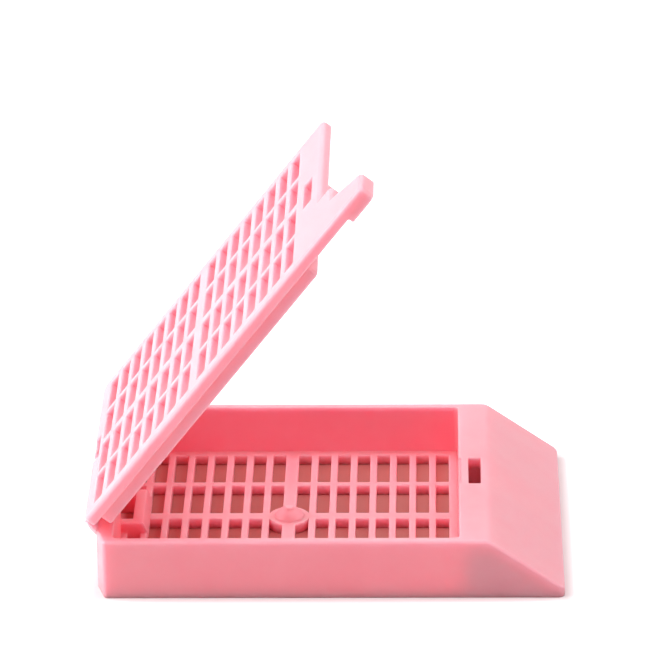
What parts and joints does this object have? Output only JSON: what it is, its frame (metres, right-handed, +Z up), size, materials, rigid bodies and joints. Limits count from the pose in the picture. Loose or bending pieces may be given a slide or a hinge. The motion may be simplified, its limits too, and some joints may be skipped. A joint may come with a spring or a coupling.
{
  "type": "tissue cassette",
  "caption": "Slotted histology tissue cassette: a shallow specimen tray with a sloped writing face and a slotted snap lid that stands open on a moulded living hinge.",
  "frame": {"origin": "centre of the flat underside of the tray", "axes": "+X to the sloped writing face, +Y to the side away from the lid's thumb tab, +Z up out of the tray; the lid is hinged at the -X end"},
  "size_m": [0.0421, 0.0286, 0.0386],
  "materials": {
    "cassette_base": "matte pink acetal",
    "lid": "matte pink acetal",
    "living_hinge": "thin matte pink acetal, translucent"
  },
  "bodies": {
    "base": {"cassette_base": "cassette_base", "living_hinge": "living_hinge"},
    "lid": {"lid": "lid"}
  },
  "joints": [
    {"name": "lid_hinge", "type": "hinge", "parent": "base", "child": "lid", "pos_m": [-0.02147, 0, 0.00525], "axis": [0, -1, 0], "range_deg": [-52.15, 127.85], "stiffness_Nm_per_rad": 0.00018, "springref_deg": 33.98, "deforming": ["living_hinge"]}
  ]
}
